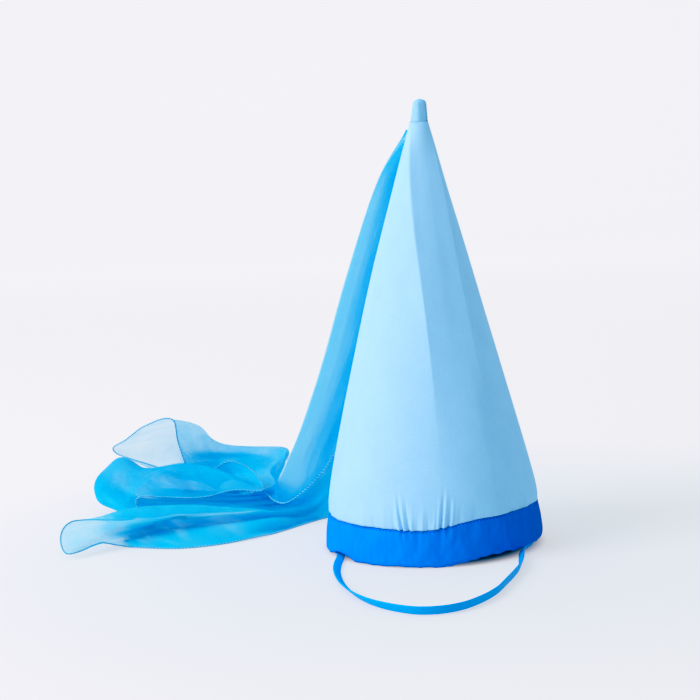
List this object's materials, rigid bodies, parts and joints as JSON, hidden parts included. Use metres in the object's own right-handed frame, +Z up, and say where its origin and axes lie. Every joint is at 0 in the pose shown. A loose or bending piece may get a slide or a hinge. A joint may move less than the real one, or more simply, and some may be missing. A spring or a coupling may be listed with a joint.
{
  "type": "hennin cone hat",
  "caption": "Pointed cone hat of stiffened cloth on a sewn band, with a chiffon veil falling from its tip and an elastic chin strap.",
  "frame": {"origin": "on the surface that the hat stands on, at the middle of the box round the hat and its veil, the chin strap left out", "axes": "+Z up along the cone, -Y towards the hat's front, +X towards the hat's right as it is seen from the front"},
  "size_m": [0.3965, 0.4886, 0.358],
  "materials": {
    "linen": "matt stiffened linen weave",
    "band_cloth": "bright blue satin-faced cloth",
    "tip_cloth": "gathered matt cloth",
    "chiffon": "sheer woven chiffon",
    "elastic": "covered elastic with a slight sheen"
  },
  "bodies": {
    "root": {"crown": "linen", "brim_band": "band_cloth", "tip_cap": "tip_cloth", "veil": "chiffon", "chin_strap": "elastic"}
  },
  "joints": []
}
